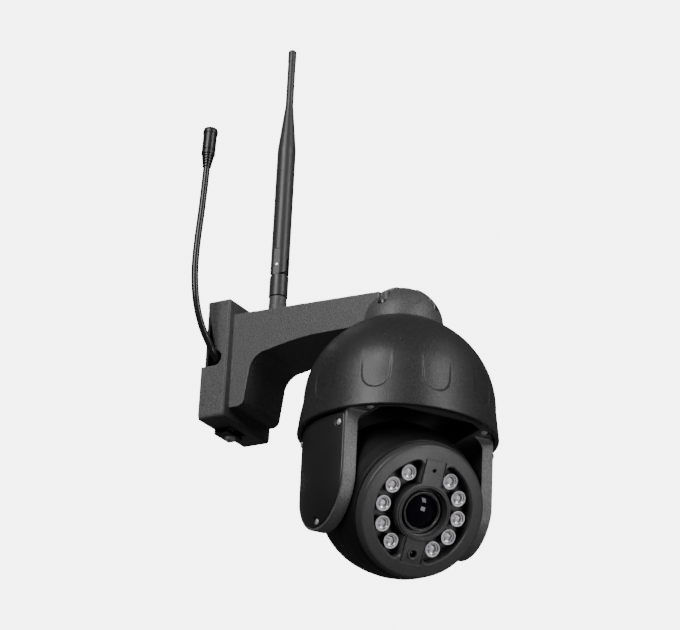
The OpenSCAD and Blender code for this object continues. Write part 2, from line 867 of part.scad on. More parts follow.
module front_bezel() {
    color("dimgray") tilt_frame() difference() {
        union() {
            face_disc(seam_d);
            ring(41.4, 39.9, seam_d - 4, seam_d + eps);
        }
        face_axis() {
            translate([0, 0, 20]) lamp_opening();
            translate([0, 0, 20]) keyhole(0);
            translate([0, 0, 20]) cylinder(20, r = opening_r + 2);
            difference() {
                translate([0, 0, 20]) cylinder(rim_d - 1.5 - 20, r = 39.9);
                cylinder(100, r = opening_r + 1);
                at_board_posts() translate([0, 0, board_d + 1.6]) cylinder(20, r = 1.9);
            }
            at_board_posts() cylinder(board_d + 5, r = 1);
        }
    }
}

// Copies a shape to the four posts that carry the lamp board
module at_board_posts() {
    for (k = [0:3]) rotate([0, 0, 45 + 90 * k]) translate([board_post_ring, 0, 0]) children();
}

module board_screws() {
    color("silver") tilt_frame() face_axis() at_board_posts()
        translate([0, 0, board_d - 1]) screw_up(1.8, 1, 1, 4);
}

module bezel_gasket() {
    color("black") tilt_frame() face_axis() translate([0, 0, seam_d - 0.9]) difference() {
        cylinder(0.8, r = 44.2);
        translate([0, 0, -1]) cylinder(3, r = 41.7);
    }
}

// The raised keyhole plate around the lens, with its upright spine
module centre_plate() {
    color("dimgray") tilt_frame() difference() {
        intersection() {
            face_axis() translate([0, 0, board_d + 1.7]) keyhole(-0.1);
            translate([0, 0.1, 0]) face_disc(board_d);
        }
        face_axis() {
            cylinder(60, r = collar_r - 0.7);
            translate([0, sensor_v, 0]) cylinder(60, r = 3.6);
            translate([0, mic_v, 0]) cylinder(60, r = 1.1);
            translate([0, mic_v, 0]) cylinder(board_d + 6, r = 2.3);
        }
    }
}

module ring(r_out, r_in, low, high) {
    face_axis() translate([0, 0, low]) difference() {
        cylinder(high - low, r = r_out);
        translate([0, 0, -1]) cylinder(high - low + 2, r = r_in);
    }
}

module lens_collar() {
    color("black") tilt_frame() {
        ring(collar_r, bore_r, face_d - 0.1, face_d + 0.8);
        ring(collar_r - 0.7, bore_r, board_d + 2, face_d - 0.1 + eps);
        ring(bore_r + eps, 12.8, lens_front_d - 5, lens_front_d - 3.5);
    }
}

module lens_ring() {
    color("black") tilt_frame() ring(12.8, glass_r, lens_front_d - 3, lens_front_d + 0.4);
}

module front_glass() {
    color("black") tilt_frame() ring(glass_r, 0.001, lens_front_d - 2, lens_front_d);
}

module lens_module() {
    color("black") tilt_frame() {
        ring(12.8, 5, lens_front_d - 5.01, lens_front_d - 3);
        face_axis() translate([0, 0, board_d - 1]) cylinder(1, r = 18.5);
        face_axis() translate([0, 0, 4]) cylinder(lens_front_d - 9, r = 14);
        face_axis() translate([-15, -15, -6]) cube([30, 30, 10.5]);
    }
}

module image_board() {
    color("darkgreen") tilt_frame() {
        face_axis() translate([-18, -18, -7.6]) cube([36, 36, 1.6]);
        face_axis() translate([-6, -6, -10]) cube([12, 12, 2.41]);
    }
}

module lamp_board() {
    color("black") tilt_frame() difference() {
        ring(39.5, 14.4, board_d, board_d + 1.6);
        face_axis() at_board_posts() cylinder(60, r = 1.1);
    }
}

module at_lamps(forward) {
    face_axis() for (s = [-1, 1], a = lamp_angles)
        translate([s * lamp_ring_r * sin(a), lamp_ring_r * cos(a), forward]) children();
}

module lamp_chips() {
    color("yellow") tilt_frame() at_lamps(board_d + 1.6) translate([-1.7, -1.7, 0]) cube([3.4, 3.4, 0.8]);
}

module lamp_lenses() {
    color("white") tilt_frame() at_lamps(board_d + 2.5) difference() {
        union() {
            cylinder(lamp_front_d - board_d - 3.5, r1 = 3.2, r2 = lamp_d / 2);
            translate([0, 0, lamp_front_d - board_d - 3.51]) cylinder(1, r = lamp_d / 2);
        }
        translate([0, 0, lamp_front_d - board_d - 4.5]) cylinder(5, r1 = 2.6, r2 = 4.6);
    }
}

module light_sensor() {
    color("black") tilt_frame() {
        face_axis() translate([0, sensor_v, board_d + 1.6]) cylinder(6, r = 2.4);
        face_axis() translate([0, sensor_v, face_d - 1.6]) difference() {
            cylinder(1.8, r = 3.6);
            translate([0, 0, -1]) cylinder(4, r = 2.7);
        }
    }
}

module microphone() {
    color("silver") tilt_frame() face_axis() translate([0, mic_v, board_d + 1.6]) cylinder(4, r = 2);
}

// The hollow axles stand on the ball's flats and turn in the bushes
module axle() {
    rotate([0, 90, 0]) difference() {
        union() {
            translate([0, 0, flat_x]) cylinder(0.5, r = 10);
            translate([0, 0, flat_x]) cylinder(8, r = axle_r);
        }
        cylinder(70, r = wire_bore_r);
    }
}

module right_axle() {
    color("silver") tilt_frame() axle();
}

module left_axle() {
    color("silver") tilt_frame() mirror([1, 0, 0]) axle();
}

// The teeth are in mesh with the pinion above at rest, so the gear is drawn untilted
module tilt_gear() {
    color("ivory") pan_frame() translate([-tilt_gear_x, 0, tilt_z]) rotate([0, -90, 0])
        rotate([0, 0, 180 / tilt_teeth]) gear(tilt_teeth, tilt_gear_w, axle_r);
}

// ---------- folding aerial ----------

module aerial_base() {
    color("dimgray") aerial_frame() difference() {
        union() {
            translate([0, 0, boss_top + gap]) cylinder(base_top - boss_top - gap, r = aerial_r + 0.05);
            intersection() {
                union() {
                    box(-tongue_half, tongue_half, -tongue_r, tongue_r, base_top - 1, hinge_z);
                    translate([-tongue_half, 0, hinge_z]) rotate([0, 90, 0])
                        cylinder(2 * tongue_half, r = tongue_r);
                }
                translate([0, 0, boss_top]) cylinder(60, r = aerial_r);
            }
        }
        translate([0, 0, boss_top - 1]) cylinder(8.5, r = 2.95 + run);
        translate([-10, 0, hinge_z]) rotate([0, 90, 0]) cylinder(20, r = pin_r);
        hinge_notch(-2.2);
    }
}

// The V-shaped notch at the back of the hinge: one half in the base, the other in the mast
module hinge_notch(rise) {
    seam = base_top + (rise > 0 ? gap - eps : eps);
    rotate([90, 0, 90]) translate([0, 0, -10]) linear_extrude(20)
        polygon([[3.2, seam], [8, seam], [8, seam + rise * 1.4]]);
}

module hinge_pin() {
    color("silver") aerial_frame() translate([-5.6, 0, hinge_z])
        rotate([0, 90, 0]) cylinder(11.2, r = pin_r);
}

module mast_slot() {
    r = tongue_r + gap;
    box(-slot_half, slot_half, -9, r, base_top - 1, hinge_z);
    box(-slot_half, slot_half, -9, 0, base_top - 1, hinge_z + r);
    translate([-slot_half, 0, hinge_z]) rotate([0, 90, 0]) cylinder(2 * slot_half, r = r);
}

module aerial_mast() {
    color("dimgray") aerial_frame() difference() {
        union() {
            translate([0, 0, base_top + gap]) cylinder(taper_z - base_top - gap, r = aerial_r);
            translate([0, 0, taper_z]) cylinder(slim_z - taper_z, r1 = aerial_r, r2 = slim_r);
            translate([0, 0, slim_z]) cylinder(tip_z - slim_z, r = slim_r);
        }
        mast_slot();
        // the lower end is round about the hinge on the side it folds to
        hinge_notch(2.4);
        difference() {
            box(-10, 10, -10, 0, base_top - 1, hinge_z);
            translate([-10, 0, hinge_z]) rotate([0, 90, 0]) cylinder(20, r = hinge_z - base_top - gap);
        }
        for (s = [-1, 1]) translate([s * (aerial_r + 2 - flat_depth), 0, base_top + 9])
            cube([4, 20, 21], center = true);
        translate([-10, 0, hinge_z]) rotate([0, 90, 0]) cylinder(20, r = pin_r + run);
        translate([0, 0, element_low - 2]) cylinder(tip_z - element_low, r = 1.2);
    }
}

module aerial_element() {
    color("goldenrod") aerial_frame()
        translate([0, 0, element_low]) cylinder(tip_z - element_low - 4, r = 1.1);
}

module aerial_tip() {
    color("dimgray") aerial_frame() translate([0, 0, tip_z]) {
        cylinder(aerial_tip_z - tip_z - 1, r = slim_r + 0.15);
        translate([0, 0, aerial_tip_z - tip_z - 1 - eps]) cylinder(1, r1 = slim_r + 0.15, r2 = slim_r - 0.7);
    }
}

bracket_arm();
wall_plate();
lock_screw();
cable_clamp();
inner_cable();
tail_cord();
cord_relief();
power_plug();
aerial_socket();
socket_nut();
aerial_lead();
dome_housing();
neck_gasket();
cap_screws();
chassis_plate();
chassis_screws();
pan_bearing();
pan_motor();
main_board();
board_chips();
board_standoffs();
turntable();
pan_gear();
hub_nut();
yoke_frame();
yoke_screws();
left_cover();
right_cover();
cover_screws();
tilt_motor();
left_bush();
right_bush();
pan_pinion();
tilt_pinion();
ball_shell();
front_bezel();
bezel_gasket();
centre_plate();
lens_collar();
lens_ring();
front_glass();
lens_module();
image_board();
lamp_board();
board_screws();
lamp_chips();
lamp_lenses();
light_sensor();
microphone();
left_axle();
right_axle();
tilt_gear();
aerial_base();
hinge_pin();
aerial_mast();
aerial_tip();
aerial_element();
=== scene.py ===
"""Looks of an outdoor pan-and-tilt camera on a wall arm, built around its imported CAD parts.

Shapes are drawn in millimetres in the frame of the part they belong to, and placed in metres.
"""
import json
import math

import bmesh
import bpy
from mathutils import Matrix, Vector


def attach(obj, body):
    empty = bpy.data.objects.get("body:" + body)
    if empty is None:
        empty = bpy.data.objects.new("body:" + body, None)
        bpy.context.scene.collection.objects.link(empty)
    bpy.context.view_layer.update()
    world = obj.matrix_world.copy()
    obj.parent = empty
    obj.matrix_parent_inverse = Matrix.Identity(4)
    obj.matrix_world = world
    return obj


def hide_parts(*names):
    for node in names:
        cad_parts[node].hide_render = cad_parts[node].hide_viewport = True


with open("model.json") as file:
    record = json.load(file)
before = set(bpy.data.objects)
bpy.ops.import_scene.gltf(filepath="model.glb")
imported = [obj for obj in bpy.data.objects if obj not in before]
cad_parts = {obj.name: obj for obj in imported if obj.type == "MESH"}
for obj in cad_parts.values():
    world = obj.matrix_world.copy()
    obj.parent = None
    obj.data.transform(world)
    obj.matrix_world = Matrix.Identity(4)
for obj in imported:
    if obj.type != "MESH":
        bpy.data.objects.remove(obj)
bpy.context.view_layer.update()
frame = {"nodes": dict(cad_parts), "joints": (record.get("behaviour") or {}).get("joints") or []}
nodes = frame["nodes"]
joints = {joint["name"]: joint for joint in frame["joints"]}

MM = 0.001
TAU = 2 * math.pi


# ---------- places ----------

def turn(axis, degrees):
    return Matrix.Rotation(math.radians(degrees), 4, axis)


def move(x, y, z):
    return Matrix.Translation(Vector((x, y, z)) * MM)


PAN = Vector(joints["pan"]["pos_m"]) / MM
TILT = Vector(joints["tilt"]["pos_m"]) / MM
PAN_REST = math.degrees(math.atan2(joints["tilt"]["axis"][1], joints["tilt"]["axis"][0]))
TILT_REST = -joints["tilt"]["range_deg"][0]

DOME = move(PAN.x, PAN.y, 0)                                # upright, on the pan axis
YOKE = DOME @ turn("Z", PAN_REST)                           # turned with the head; forward is -Y
BALL = YOKE @ move(0, 0, TILT.z) @ turn("X", TILT_REST)     # tilted with the head
FACE = BALL @ turn("X", 90)                                 # +Z points out of the face, +Y is its top


# ---------- camera, light and stage ----------

CAMERA_AT = Vector((-1.3236, -0.8958, -0.6330))
CAMERA_AZIMUTH = -58.651
CAMERA_ELEVATION = -23.143
CAMERA_ROLL = 2.776
FOCAL_MM = 132.35
LIT_MIDDLE = Vector((0, -0.1, 0))


def away_from(azimuth, elevation):
    """The direction from the object at an angle from -Y round it and an angle above it, in degrees."""
    turned = math.radians(azimuth)
    raised = math.radians(elevation)
    level = math.cos(raised)
    return Vector((level * math.sin(turned), -level * math.cos(turned), math.sin(raised)))


def add_camera():
    azimuth = math.radians(CAMERA_AZIMUTH)
    roll = math.radians(CAMERA_ROLL)
    back = away_from(CAMERA_AZIMUTH, CAMERA_ELEVATION)
    level = Vector((math.cos(azimuth), math.sin(azimuth), 0))
    right = math.cos(roll) * level + math.sin(roll) * back.cross(level)
    up = back.cross(right)
    data = bpy.data.cameras.new("view")
    data.lens = FOCAL_MM
    data.sensor_width = 36
    data.clip_start = 0.05
    camera = bpy.data.objects.new("view", data)
    camera.matrix_world = Matrix.Translation(CAMERA_AT) @ Matrix((right, up, back)).transposed().to_4x4()
    bpy.context.scene.collection.objects.link(camera)
    bpy.context.scene.camera = camera


def add_strip(name, azimuth, elevation, distance, width, height, watts):
    """A soft strip light at an angle from -Y round the object, standing up and facing it."""
    away = away_from(azimuth, elevation)
    data = bpy.data.lights.new(name, "AREA")
    data.shape = "RECTANGLE"
    data.size = width
    data.size_y = height
    data.energy = watts
    light = bpy.data.objects.new(name, data)
    light.location = LIT_MIDDLE + away * distance
    light.rotation_euler = away.to_track_quat("Z", "Y").to_euler()
    light.visible_camera = False
    bpy.context.scene.collection.objects.link(light)


add_camera()


# ---------- materials ----------

def shader(name):
    made = bpy.data.materials.new(name)
    made.use_nodes = True
    tree = made.node_tree
    return made, tree, tree.nodes["Principled BSDF"]


def noise(tree, scale, detail=3.0, stretch=None):
    """A noise texture in object space; scale is the size of a grain in millimetres."""
    place = tree.nodes.new("ShaderNodeTexCoord")
    texture = tree.nodes.new("ShaderNodeTexNoise")
    texture.inputs["Scale"].default_value = 1 / (scale * MM)
    texture.inputs["Detail"].default_value = detail
    source = place.outputs["Object"]
    if stretch:
        mapping = tree.nodes.new("ShaderNodeMapping")
        mapping.inputs["Scale"].default_value = stretch
        tree.links.new(source, mapping.inputs["Vector"])
        source = mapping.outputs["Vector"]
    tree.links.new(source, texture.inputs["Vector"])
    return texture.outputs["Fac"]


def ramp(tree, source, stops):
    node = tree.nodes.new("ShaderNodeValToRGB")
    tree.links.new(source, node.inputs["Fac"])
    elements = node.color_ramp.elements
    while len(elements) < len(stops):
        elements.new(0.5)
    for element, (position, value) in zip(elements, stops):
        element.position = position
        element.color = (*value, 1) if isinstance(value, tuple) else (value, value, value, 1)
    return node.outputs["Color"]


def finish_surface(name, dark, light, rough, grain=0.7, bump=0.05, broad=25, metallic=0.0, specular=0.5,
                   stretch=None, painted_glint=0.0):
    """A procedural surface: grains between dark and light, broad variation in roughness, and a fine bump; the
    bright flecks added to the colour are painted glints of the coat's grain.
    """
    made, tree, base = shader(name)
    fine = noise(tree, grain, 4, stretch)
    wide = noise(tree, broad, 2)
    stops = [(0.3, dark), (0.68, light)]
    # bright flecks in the base colour: painted glints standing in for light caught by the coat's grain
    if painted_glint:
        bright = tuple(min(1, value + painted_glint) for value in light)
        stops = [(0.3, dark), (0.62, light), (0.72, light), (0.8, bright)]
    tree.links.new(ramp(tree, fine, stops), base.inputs["Base Color"])
    tree.links.new(ramp(tree, wide, [(0.3, rough[0]), (0.7, rough[1])]), base.inputs["Roughness"])
    if bump:
        relief = tree.nodes.new("ShaderNodeBump")
        relief.inputs["Distance"].default_value = bump * MM
        relief.inputs["Strength"].default_value = 1.0
        tree.links.new(fine, relief.inputs["Height"])
        tree.links.new(relief.outputs["Normal"], base.inputs["Normal"])
    base.inputs["Metallic"].default_value = metallic
    base.inputs["Specular IOR Level"].default_value = specular
    return made


def grey(value):
    return (value, value, value * 1.03)


# the bright flecks in these coats are painted glints, not flecks of another colour
POWDER = finish_surface("powder_coat", grey(0.01), grey(0.029), (0.38, 0.46), grain=0.9, bump=0.12,
                        painted_glint=0.35)
# a lighter copy of the dome's black powder coat: the extra lightness is painted light, standing in for the
# stronger light on the arm and foot
BRACKET_COAT_PAINTED_LIGHT = finish_surface("bracket_coat_painted_light", grey(0.04), grey(0.095), (0.38, 0.46), grain=0.9,
                              bump=0.26, painted_glint=0.22)
# a still lighter copy of the same black powder coat: the extra lightness is painted light, standing in for
# the light on the lit front faces of the yoke arms
YOKE_COAT_PAINTED_LIGHT = finish_surface("yoke_coat_painted_light", grey(0.055), grey(0.13), (0.36, 0.44), grain=0.9, bump=0.2,
                           painted_glint=0.22)
BALL_COAT = finish_surface("ball_coat", grey(0.004), grey(0.009), (0.44, 0.52), grain=0.8,
                           bump=0.06, painted_glint=0.01, specular=0.25)
SATIN = finish_surface("satin_paint", grey(0.012), grey(0.018), (0.32, 0.4), grain=0.6, bump=0.012)
FACE_PLASTIC = finish_surface("face_plastic", grey(0.034), grey(0.052), (0.38, 0.46), grain=0.7,
                              bump=0.05, specular=0.45)
BLACK = finish_surface("black_plastic", grey(0.006), grey(0.011), (0.3, 0.4), grain=0.5, bump=0.01)
AERIAL_SKIN = finish_surface("aerial_skin", grey(0.03), grey(0.042), (0.36, 0.44), grain=0.5, bump=0.015)
JACKET = finish_surface("cord_jacket", grey(0.01), grey(0.015), (0.18, 0.26), grain=0.8, bump=0.008)
RUBBER = finish_surface("seal_rubber", grey(0.01), grey(0.016), (0.7, 0.8), grain=0.4, bump=0.02)
SCREW = finish_surface("screw_steel", (0.6, 0.6, 0.61), (0.8, 0.8, 0.81), (0.28, 0.4), grain=0.3,
                       bump=0.006, metallic=0.45, broad=4)
BLACK_OXIDE = finish_surface("black_oxide", (0.05, 0.05, 0.055), (0.09, 0.09, 0.095), (0.3, 0.42),
                             grain=0.4, bump=0.006, metallic=0.8, broad=4)
PLATE = finish_surface("plate_steel", (0.5, 0.51, 0.53), (0.66, 0.67, 0.68), (0.32, 0.48),
                       grain=2.5, bump=0.01, metallic=1.0, stretch=(1, 1, 8))
STEEL = finish_surface("turned_steel", (0.5, 0.5, 0.51), (0.66, 0.66, 0.67), (0.22, 0.34),
                       grain=0.6, bump=0.004, metallic=1.0, stretch=(6, 1, 1), broad=8)
CAST = finish_surface("cast_alloy", (0.42, 0.43, 0.45), (0.56, 0.57, 0.59), (0.45, 0.6), grain=1.2,
                      bump=0.05, metallic=1.0)
BRASS = finish_surface("brass", (0.56, 0.42, 0.18), (0.72, 0.56, 0.28), (0.25, 0.4), grain=0.6,
                       bump=0.005, metallic=1.0, broad=6)
NYLON = finish_surface("nylon", (0.62, 0.59, 0.5), (0.74, 0.71, 0.62), (0.4, 0.5), grain=0.8, bump=0.008)
BOARD = finish_surface("board", (0.008, 0.07, 0.025), (0.015, 0.12, 0.045), (0.25, 0.35), grain=1.4,
                       bump=0.01)
LAMP_BOARD = finish_surface("lamp_board", grey(0.012), grey(0.02), (0.35, 0.45), grain=0.8, bump=0.01)
LEAD = finish_surface("lead_jacket", (0.12, 0.06, 0.03), (0.18, 0.1, 0.05), (0.3, 0.4), grain=0.5, bump=0.005)
CHIP = finish_surface("lamp_chip", (0.5, 0.36, 0.06), (0.75, 0.6, 0.16), (0.3, 0.4), grain=0.3, bump=0.004)


def clear_material(name, tint, rough, specular=0.5, transmission=1.0):
    """Clear or milky plastic; the transmission says how much of the light goes through."""
    made, tree, base = shader(name)
    fine = noise(tree, 2.0, 2)
    shade = tuple(0.88 * value for value in tint)
    tree.links.new(ramp(tree, fine, [(0.3, tint), (0.7, shade)]), base.inputs["Base Color"])
    tree.links.new(ramp(tree, fine, [(0.3, rough), (0.7, rough * 1.5)]), base.inputs["Roughness"])
    base.inputs["Transmission Weight"].default_value = transmission
    base.inputs["Specular IOR Level"].default_value = specular
    base.inputs["IOR"].default_value = 1.49
    return made


LAMP_LENS = clear_material("lamp_lens", (0.94, 0.91, 0.95), 0.16, transmission=0.25)
LAMP_BEAD = clear_material("lamp_bead", grey(0.75), 0.05, specular=0.9, transmission=0.5)
LAMP_BOWL = finish_surface("lamp_bowl", (0.62, 0.6, 0.63), (0.9, 0.87, 0.91), (0.16, 0.28),
                           grain=0.9, bump=0.02, metallic=0.85, broad=3)
COATED = finish_surface("coated_lens", (0.002, 0.002, 0.004), (0.004, 0.0035, 0.008), (0.03, 0.05),
                        grain=4, bump=0, specular=0.3)


# ---------- mesh building ----------

def add_object(name, mesh, place, material, body, replaces=(), sharp=38):
    mesh.transform(place)
    mesh.materials.clear()
    mesh.materials.append(material)
    mesh.polygons.foreach_set("use_smooth", [True] * len(mesh.polygons))
    mesh.update()
    mesh.set_sharp_from_angle(angle=math.radians(sharp))
    made = bpy.data.objects.new(name, mesh)
    bpy.context.scene.collection.objects.link(made)
    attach(made, body)
    if replaces:
        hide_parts(*replaces)
    return made


def mesh_from(points, faces):
    """A mesh from points in millimetres, in metres, with its faces turned outwards."""
    mesh = bpy.data.meshes.new("piece")
    mesh.from_pydata([Vector(p) * MM for p in points], [], faces)
    build = bmesh.new()
    build.from_mesh(mesh)
    bmesh.ops.remove_doubles(build, verts=build.verts, dist=1e-6)
    bmesh.ops.recalc_face_normals(build, faces=build.faces)
    build.to_mesh(mesh)
    build.free()
    return mesh


def join_meshes(meshes):
    build = bmesh.new()
    for mesh in meshes:
        build.from_mesh(mesh)
    joined = bpy.data.meshes.new("piece")
    build.to_mesh(joined)
    build.free()
    return joined


def moved(mesh, place):
    copy = mesh.copy()
    copy.transform(place)
    return copy


def around(radius, angle, at=(0, 0)):
    return at[0] + radius * math.cos(angle), at[1] + radius * math.sin(angle)


def ring_faces(first, second, sides):
    """The faces of a band between two rings of points, given by the number of each ring."""
    for k in range(sides):
        n = (k + 1) % sides
        yield first * sides + k, first * sides + n, second * sides + n, second * sides + k


def rounded(corners):
    """A line through corners (a, b, radius), with an arc of that radius at each corner that has one."""
    line = []
    for i, (a, b, radius) in enumerate(corners):
        here = Vector((a, b))
        if not radius:
            line.append((a, b))
            continue
        before = (Vector(corners[i - 1][:2]) - here).normalized()
        after = (Vector(corners[(i + 1) % len(corners)][:2]) - here).normalized()
        half = before.angle(after) / 2
        reach = radius / math.tan(half)
        centre = here + (before + after).normalized() * (radius / math.sin(half))
        start = here + before * reach - centre
        sweep = math.pi - 2 * half
        side = 1 if start.cross(here + after * reach - centre) > 0 else -1
        steps = max(2, round(sweep / 0.25))
        for k in range(steps + 1):
            angle = side * sweep * k / steps
            turned = Vector((start.x * math.cos(angle) - start.y * math.sin(angle),
                             start.x * math.sin(angle) + start.y * math.cos(angle)))
            line.append(tuple(centre + turned))
    return line


def lathe(line, sides=96, closed=True):
    """A turned shape from a line of (radius, height); a radius of zero closes it on the axis."""
    points = [(*around(r, TAU * k / sides), h) for r, h in line for k in range(sides)]
    faces = []
    last = len(line) if closed else len(line) - 1
    for i in range(last):
        faces += ring_faces(i, (i + 1) % len(line), sides)
    return clean(mesh_from(points, faces))


def clean(mesh):
    """Drops faces that have no area, such as those on the axis of a turned shape."""
    build = bmesh.new()
    build.from_mesh(mesh)
    bmesh.ops.dissolve_degenerate(build, dist=1e-6, edges=build.edges)
    bmesh.ops.delete(build, geom=[edge for edge in build.edges if edge.is_wire], context="EDGES")
    bmesh.ops.recalc_face_normals(build, faces=build.faces)
    build.to_mesh(mesh)
    build.free()
    return mesh


def loft(low_line, high_line, low, high):
    """An upright body between two closed outlines with the same number of points."""
    count = len(low_line)
    points = [(a, b, low) for a, b in low_line] + [(a, b, high) for a, b in high_line]
    walls = [(k, (k + 1) % count, count + (k + 1) % count, count + k) for k in range(count)]
    return mesh_from(points, walls + [tuple(range(count))[::-1], tuple(range(count, 2 * count))])


def prism(outline, low, high):
    return loft(outline, outline, low, high)


def box_mesh(low, high):
    (x1, y1, z1), (x2, y2, z2) = low, high
    return prism([(x1, y1), (x2, y1), (x2, y2), (x1, y2)], z1, z2)


def circle(radius, steps=32, at=(0, 0)):
    return [around(radius, TAU * k / steps, at) for k in range(steps)]


def evaluated(made):
    """The mesh of an object after its modifiers, and the object is removed."""
    mesh = bpy.data.meshes.new_from_object(made.evaluated_get(bpy.context.evaluated_depsgraph_get()))
    bpy.data.objects.remove(made)
    return mesh


def scratch(mesh):
    made = bpy.data.objects.new("scratch", mesh)
    bpy.context.scene.collection.objects.link(made)
    return made


def cut(mesh, cutters, operation="DIFFERENCE"):
    """mesh with each cutter mesh taken away, added or kept."""
    for cutter in cutters:
        body = scratch(mesh)
        tool = scratch(cutter)
        step = body.modifiers.new("cut", "BOOLEAN")
        step.operation = operation
        step.solver = "MANIFOLD"
        step.object = tool
        mesh = evaluated(body)
        bpy.data.objects.remove(tool)
    return mesh


def soften(mesh, voxel, passes, keep=0.35):
    """Rounds every edge as casting or moulding does: an even remesh, then smoothing, then a lighter mesh."""
    body = scratch(mesh)
    remesh = body.modifiers.new("even", "REMESH")
    remesh.mode = "VOXEL"
    remesh.voxel_size = voxel * MM
    smooth = body.modifiers.new("round", "SMOOTH")
    smooth.factor = 0.5
    smooth.iterations = passes
    light = body.modifiers.new("light", "DECIMATE")
    light.ratio = keep
    return evaluated(body)


def node_copy(name):
    """A CAD part's mesh with the split corners of its shading joined up again."""
    build = bmesh.new()
    build.from_mesh(nodes[name].data)
    bmesh.ops.remove_doubles(build, verts=build.verts, dist=2e-6)
    mesh = bpy.data.meshes.new(name)
    build.to_mesh(mesh)
    build.free()
    return mesh


def tube_curve(name, points, radius, material, body, replaces):
    """A smooth cord along points in millimetres."""
    data = bpy.data.curves.new(name, "CURVE")
    data.dimensions = "3D"
    data.bevel_depth = radius * MM
    data.bevel_resolution = 6
    data.resolution_u = 8
    data.use_fill_caps = True
    spline = data.splines.new("BEZIER")
    spline.bezier_points.add(len(points) - 1)
    for spot, point in zip(spline.bezier_points, points):
        spot.co = Vector(point) * MM
        spot.handle_left_type = spot.handle_right_type = "AUTO"
    data.materials.append(material)
    made = bpy.data.objects.new(name, data)
    bpy.context.scene.collection.objects.link(made)
    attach(made, body)
    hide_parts(*replaces)
    return made


# ---------- power cord ----------

CORD_D = 4.8
CORD_ROUTE = [
    (-28, -11, -0.5), (-32.5, -10.6, 3.2), (-37, -9.6, 8.4), (-41.5, -8.2, 15),
    (-45.8, -7, 23), (-49.4, -6, 33), (-51.8, -5.4, 44), (-53, -5, 56), (-53.2, -5, 68),
    (-52.5, -5, 80), (-51.4, -5, 92), (-50.2, -5, 104), (-49.3, -5, 116),
    (-48.6, -5, 126), (-48, -5, 136), (-47.4, -5, 146),
]
PLUG_R = 4.8
PLUG_LENGTH = 21


def add_cord():
    cord = tube_curve("power_cord", CORD_ROUTE, CORD_D / 2, JACKET, "bracket", ["tail_cord"])
    end = Vector(CORD_ROUTE[-1])
    along = end - Vector(CORD_ROUTE[-2])
    place = move(*end) @ along.to_track_quat("Z", "Y").to_matrix().to_4x4()
    # strain relief: a cone with four open ribs round it
    profile = [(CORD_D / 2, -9, 0), (CORD_D / 2 + 0.6, -9, 0.25)]
    for k in range(4):
        low = -8 + 2 * k
        radius = CORD_D / 2 + 0.7 + 0.32 * k
        profile += [(radius, low, 0.2), (radius - 0.5, low + 0.1, 0.1), (radius - 0.5, low + 0.9, 0.1),
                    (radius + 0.15, low + 1, 0.2)]
    profile += [(PLUG_R - 0.6, -0.2, 0.2), (PLUG_R - 0.6, 0.05, 0), (CORD_D / 2, 0.05, 0)]
    relief = lathe(rounded(profile), 48)
    relief = add_object("relief_sleeve", relief, place, JACKET, "bracket", ["cord_relief"])
    # inline plug: a moulded barrel with a grip ring and the socket in its mouth
    top = PLUG_LENGTH
    profile = [(0, 0, 0), (PLUG_R, 0, 0.9), (PLUG_R, 3, 0.2), (PLUG_R - 0.35, 3.2, 0.1),
               (PLUG_R - 0.35, 4.2, 0.1), (PLUG_R, 4.4, 0.2), (PLUG_R, top - 4.2, 0.2),
               (PLUG_R + 0.4, top - 4, 0.2), (PLUG_R + 0.4, top - 1.6, 0.2), (PLUG_R, top - 1.4, 0.2),
               (PLUG_R, top, 0.5), (2.8, top, 0.2),
               (2.8, top - 8.8, 0), (1, top - 8.8, 0), (1, top - 1.2, 0.3), (0, top - 1.2, 0)]
    plug = lathe(rounded(profile), 64)
    plug = add_object("inline_plug", plug, place, BLACK, "bracket", ["power_plug"])


add_cord()


# ---------- wall bracket ----------

CAP_R = 27.5
CAP_Z = 11.4
CAP_GROOVE_TURN = -47
GROOVE_HALF = 6.5


def add_bracket():
    body = node_copy("bracket_arm")
    # shallow U-shaped grooves in the cap, between its screws
    grooves = []
    for k in (0, 1):
        place = DOME @ turn("Z", CAP_GROOVE_TURN + 90 * k)
        outline = [around(GROOVE_HALF, math.pi + math.pi * i / 16) for i in range(17)]
        outline += [(GROOVE_HALF, 24), (-GROOVE_HALF, 24)]
        tongue = prism(outline, 0, 40)
        tongue.transform(place @ move(0, 0, 25) @ turn("X", 90))
        shell = lathe(sphere_line(CAP_R - 0.7), 96, closed=False)
        shell.transform(DOME @ move(0, 0, CAP_Z))
        grooves.append(cut(tongue, [shell]))
    body = cut(body, grooves)
    body = soften(body, 0.4, 3, 0.2)
    add_object("bracket_casting", body, Matrix(), BRACKET_COAT_PAINTED_LIGHT, "bracket", ["bracket_arm"])


def sphere_line(radius, steps=48):
    angles = [math.pi * k / steps for k in range(steps + 1)]
    return [(radius * math.sin(a), -radius * math.cos(a)) for a in angles]


def pan_head(radius, height):
    """A pan-head screw with a cross recess: its top is at the origin, facing +Z, and the head lies below."""
    profile = [(0, -height, 0), (radius, -height, 0.1), (radius, -height * 0.55, radius * 0.25),
               (radius * 0.55, 0, radius * 0.4), (0, 0, 0)]
    head = lathe(rounded(profile), 40)
    arm = radius * 0.62
    half = radius * 0.13
    low = -height * 0.7
    bars = [box_mesh((-arm, -half, low), (arm, half, 1)), box_mesh((-half, -arm, low), (half, arm, 1))]
    return cut(head, bars)


def add_wall_side():
    add_bracket()
    place = move(0, -7, -48.5) @ turn("X", 180)
    add_object("lock_screw_head", pan_head(3.8, 2.3), place, SCREW, "bracket")


add_wall_side()


# ---------- dome ----------

DOME_R = 63.5
RIM_R = 66
RIM_Z = -67.7
CROWN_Z = -47.5
NECK_R = 27.5
NECK_Z = CROWN_Z + math.sqrt(DOME_R ** 2 - NECK_R ** 2)
TONGUES = 10
TONGUE_TURN = -2.5
TONGUE_DEPTH = 0.75


def smooth_step(low, high, value):
    t = min(1, max(0, (value - low) / (high - low)))
    return t * t * (3 - 2 * t)


